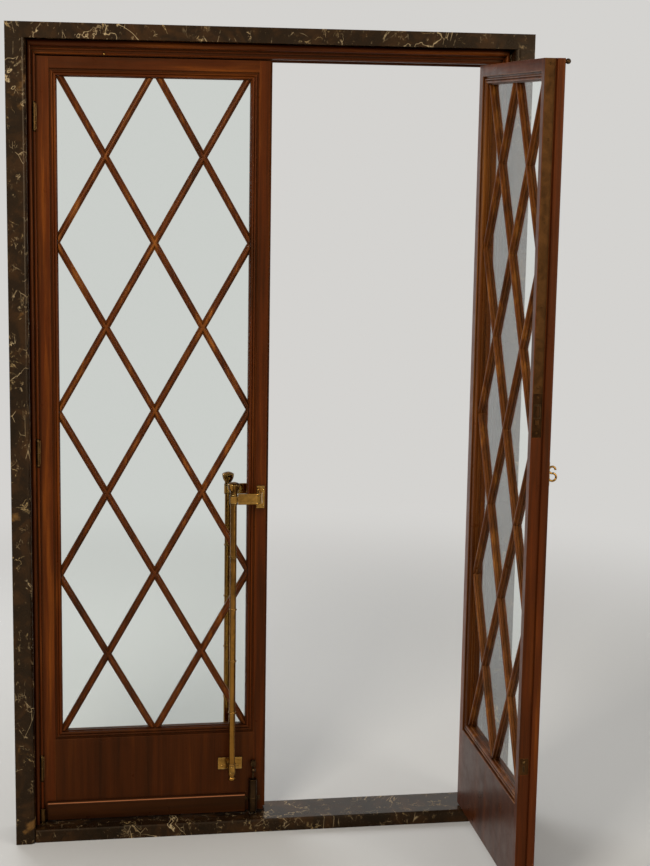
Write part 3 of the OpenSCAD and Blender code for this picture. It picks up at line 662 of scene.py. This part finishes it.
def floor_material(near, far, matt_share):
    """Matt near the object, where it takes the shadow, and the background's colour far away."""
    mat = bpy.data.materials.new("studio_floor")
    t = Tree(mat)
    matt = t.add("ShaderNodeBsdfDiffuse", {"Color": dimmed(backdrop, matt_share)})
    glow = t.add("ShaderNodeEmission", {"Color": backdrop})
    place = t.add("ShaderNodeTexCoord").outputs["Object"]
    distance = t.add("ShaderNodeVectorMath", {0: place}, operation="LENGTH").outputs["Value"]
    fade = t.add("ShaderNodeMapRange", {"Value": distance, "From Min": near, "From Max": far},
                 interpolation_type="SMOOTHSTEP").outputs["Result"]
    both = t.blend(t.times(fade, t.background_rays()), matt.outputs[0], glow.outputs[0])
    t.add("ShaderNodeOutputMaterial", {"Surface": both})
    return mat


def soft_world(colour, strength):
    """Lights the object softly, and shows the background's colour itself."""
    world = bpy.data.worlds.new("studio")
    t = Tree(world)
    soft = t.add("ShaderNodeBackground", {"Color": colour, "Strength": strength})
    seen = t.add("ShaderNodeBackground", {"Color": backdrop})
    both = t.blend(t.background_rays(), soft.outputs[0], seen.outputs[0])
    t.add("ShaderNodeOutputWorld", {"Surface": both})
    return world


def lamp(name, at, aim, size, power, colour, glossy=True):
    """A soft lamp that no view shows. Without glossy it gives no highlights either."""
    light = bpy.data.lights.new(name, "AREA")
    light.shape = "RECTANGLE"
    light.size, light.size_y = size
    light.energy = power
    light.color = colour
    obj = in_scene(name, light)
    obj.location = at
    obj.rotation_euler = (Vector(aim) - Vector(at)).to_track_quat("-Z", "Y").to_euler()
    obj.visible_camera = obj.visible_transmission = False
    obj.visible_glossy = glossy


def photo_camera(at, focal, yaw, pitch, roll):
    """The photo's camera. focal is in pixels of the photo, whose height the sensor spans.

    In radians, yaw turns it right from +y, pitch turns it down and roll about its own view."""
    sensor, photo_height = 36, 866
    data = bpy.data.cameras.new("photo_camera")
    data.sensor_width = sensor
    data.lens = focal * sensor / photo_height
    ahead = Vector((math.sin(yaw) * math.cos(pitch), math.cos(yaw) * math.cos(pitch),
                    -math.sin(pitch)))
    level = Vector((math.cos(yaw), -math.sin(yaw), 0))
    plumb = ahead.cross(level)
    right = math.cos(roll) * level + math.sin(roll) * plumb
    down = -math.sin(roll) * level + math.cos(roll) * plumb
    camera = in_scene("photo_camera", data)
    turn = Matrix((right, -down, -ahead)).transposed().to_4x4()
    camera.matrix_world = Matrix.Translation(at) @ turn
    return camera


reach = 60
floor_mesh = bpy.data.meshes.new("studio_floor")
floor_mesh.from_pydata([(-reach, -reach, 0), (reach, -reach, 0), (reach, reach, 0),
                        (-reach, reach, 0)], [], [(0, 1, 2, 3)])
floor_mesh.materials.append(floor_material(near=2.2, far=5.5, matt_share=0.84))
floor = in_scene("studio_floor", floor_mesh)

lamp("key", at=(-2.6, -4.4, 4.4), aim=(0, 0, 1.4), size=(1.6, 1.6), power=200,
     colour=(1.0, 0.95, 0.87))
lamp("fill", at=(3.4, -4.2, 2.4), aim=(0.2, 0, 1.4), size=(1.6, 2.6), power=75,
     colour=(1.0, 0.96, 0.9))
lamp("behind", at=(-1.6, 3.6, 3.4), aim=(0, 0, 1.5), size=(2.4, 2.4), power=110,
     colour=(0.92, 0.96, 1.0), glossy=False)

scene = bpy.context.scene
scene.world = soft_world(colour=(1.0, 0.98, 0.95), strength=0.55)
scene.camera = photo_camera(at=(-0.8175, -6.10515, 2.57162), focal=1741.47, yaw=0.16617,
                            pitch=0.17509, roll=-0.01689)
scene.view_settings.view_transform = "Standard"
